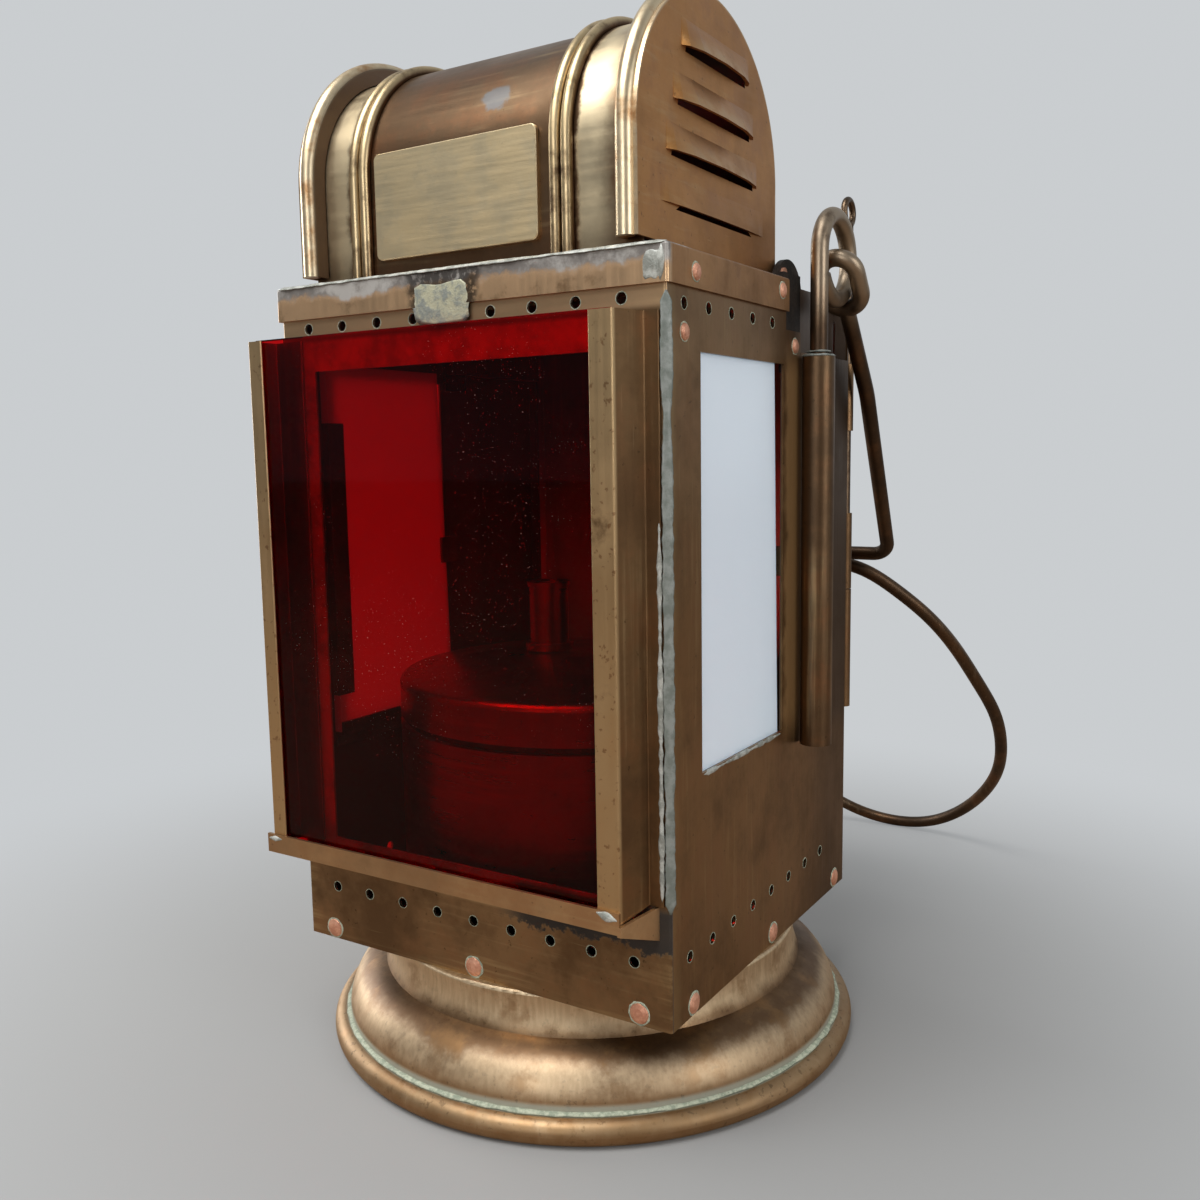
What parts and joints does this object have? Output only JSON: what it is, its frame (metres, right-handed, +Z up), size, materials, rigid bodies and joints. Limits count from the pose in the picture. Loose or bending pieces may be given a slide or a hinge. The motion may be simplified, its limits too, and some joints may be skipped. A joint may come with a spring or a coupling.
{
  "type": "carbide signal lamp",
  "caption": "Square brass hand lamp on a round spun foot, with a barrel roof, red front glass, white side panes, hinged rear door and a folding wire handle.",
  "frame": {"origin": "centre of the round foot, on the surface that it stands on", "axes": "+Z up, -Y out of the red front glass, +X towards the side with the rear door's hinge"},
  "size_m": [0.1615, 0.2843, 0.2745],
  "materials": {
    "spun_brass": "aged spun brass, brown orange with brushed marks",
    "sheet_brass": "aged sheet brass, brown with scratches and solder",
    "roof_brass": "aged brass with bright worn beads",
    "plate_brass": "pale brushed brass plate",
    "bronze_wire": "dark brown wire and tube",
    "rivet_copper": "copper pink rivet heads with pale green rims",
    "black_iron": "sooty black iron",
    "steel_pin": "dull steel",
    "red_glass": "deep red clear glass",
    "white_glass": "white opal glass",
    "tank_brass": "sooty brass vessel",
    "gasket_rubber": "black rubber ring",
    "tip_ceramic": "pale burner ceramic"
  },
  "bodies": {
    "lamp_body": {"foot": "spun_brass", "foot_floor": "spun_brass", "floor_plate": "sheet_brass", "front_panel": "sheet_brass", "right_side_panel": "sheet_brass", "left_side_panel": "sheet_brass", "back_frame": "sheet_brass", "top_cover": "sheet_brass", "rear_hood": "sheet_brass", "right_bracket": "black_iron", "left_bracket": "black_iron", "roof_lugs": "black_iron", "lug_rivets": "rivet_copper", "roof_barrel": "roof_brass", "right_roof_cap": "roof_brass", "left_roof_cap": "roof_brass", "number_plate": "plate_brass", "right_glass_guide": "sheet_brass", "left_glass_guide": "sheet_brass", "bottom_rail": "sheet_brass", "right_white_pane": "white_glass", "left_white_pane": "white_glass", "pane_guides": "sheet_brass", "pane_ledges": "sheet_brass", "pane_clips": "sheet_brass", "generator_body": "tank_brass", "carbide_pot": "tank_brass", "lid_gasket": "gasket_rubber", "generator_lid": "tank_brass", "burner_collar": "tank_brass", "burner_tube": "tank_brass", "burner_tip": "tip_ceramic", "right_handle_tube": "bronze_wire", "left_handle_tube": "bronze_wire", "right_eye_rod": "bronze_wire", "left_eye_rod": "bronze_wire", "door_catch": "sheet_brass", "frame_knuckle": "sheet_brass", "hinge_collar": "sheet_brass", "front_rivets": "rivet_copper", "side_rivets": "rivet_copper", "cover_rivets": "rivet_copper"},
    "bail": {"bail": "bronze_wire"},
    "grip_loop": {"grip_loop": "bronze_wire"},
    "rear_door": {"rear_door": "sheet_brass", "door_rivets": "sheet_brass"},
    "red_glass": {"red_glass": "red_glass"},
    "hinge_pin": {"hinge_pin": "steel_pin"}
  },
  "joints": [
    {"name": "bail_hinge", "type": "hinge", "parent": "lamp_body", "child": "bail", "pos_m": [0, 0.0304, 0.2178], "axis": [1, 0, 0], "range_deg": [0, 150]},
    {"name": "grip_hinge", "type": "hinge", "parent": "bail", "child": "grip_loop", "pos_m": [0.029, 0.10146, 0.1302], "axis": [1, 0, 0], "range_deg": [0, 80]},
    {"name": "door_hinge", "type": "hinge", "parent": "lamp_body", "child": "rear_door", "pos_m": [0.0569, 0.0586, 0.13], "axis": [0, 0, -1], "range_deg": [0, 17]},
    {"name": "glass_slide", "type": "slide", "parent": "lamp_body", "child": "red_glass", "axis": [0, 0, 1], "range_m": [0, 0.13]},
    {"name": "pin_slide", "type": "slide", "parent": "lamp_body", "child": "hinge_pin", "axis": [0, 0, 1], "range_m": [0, 0.1]}
  ]
}
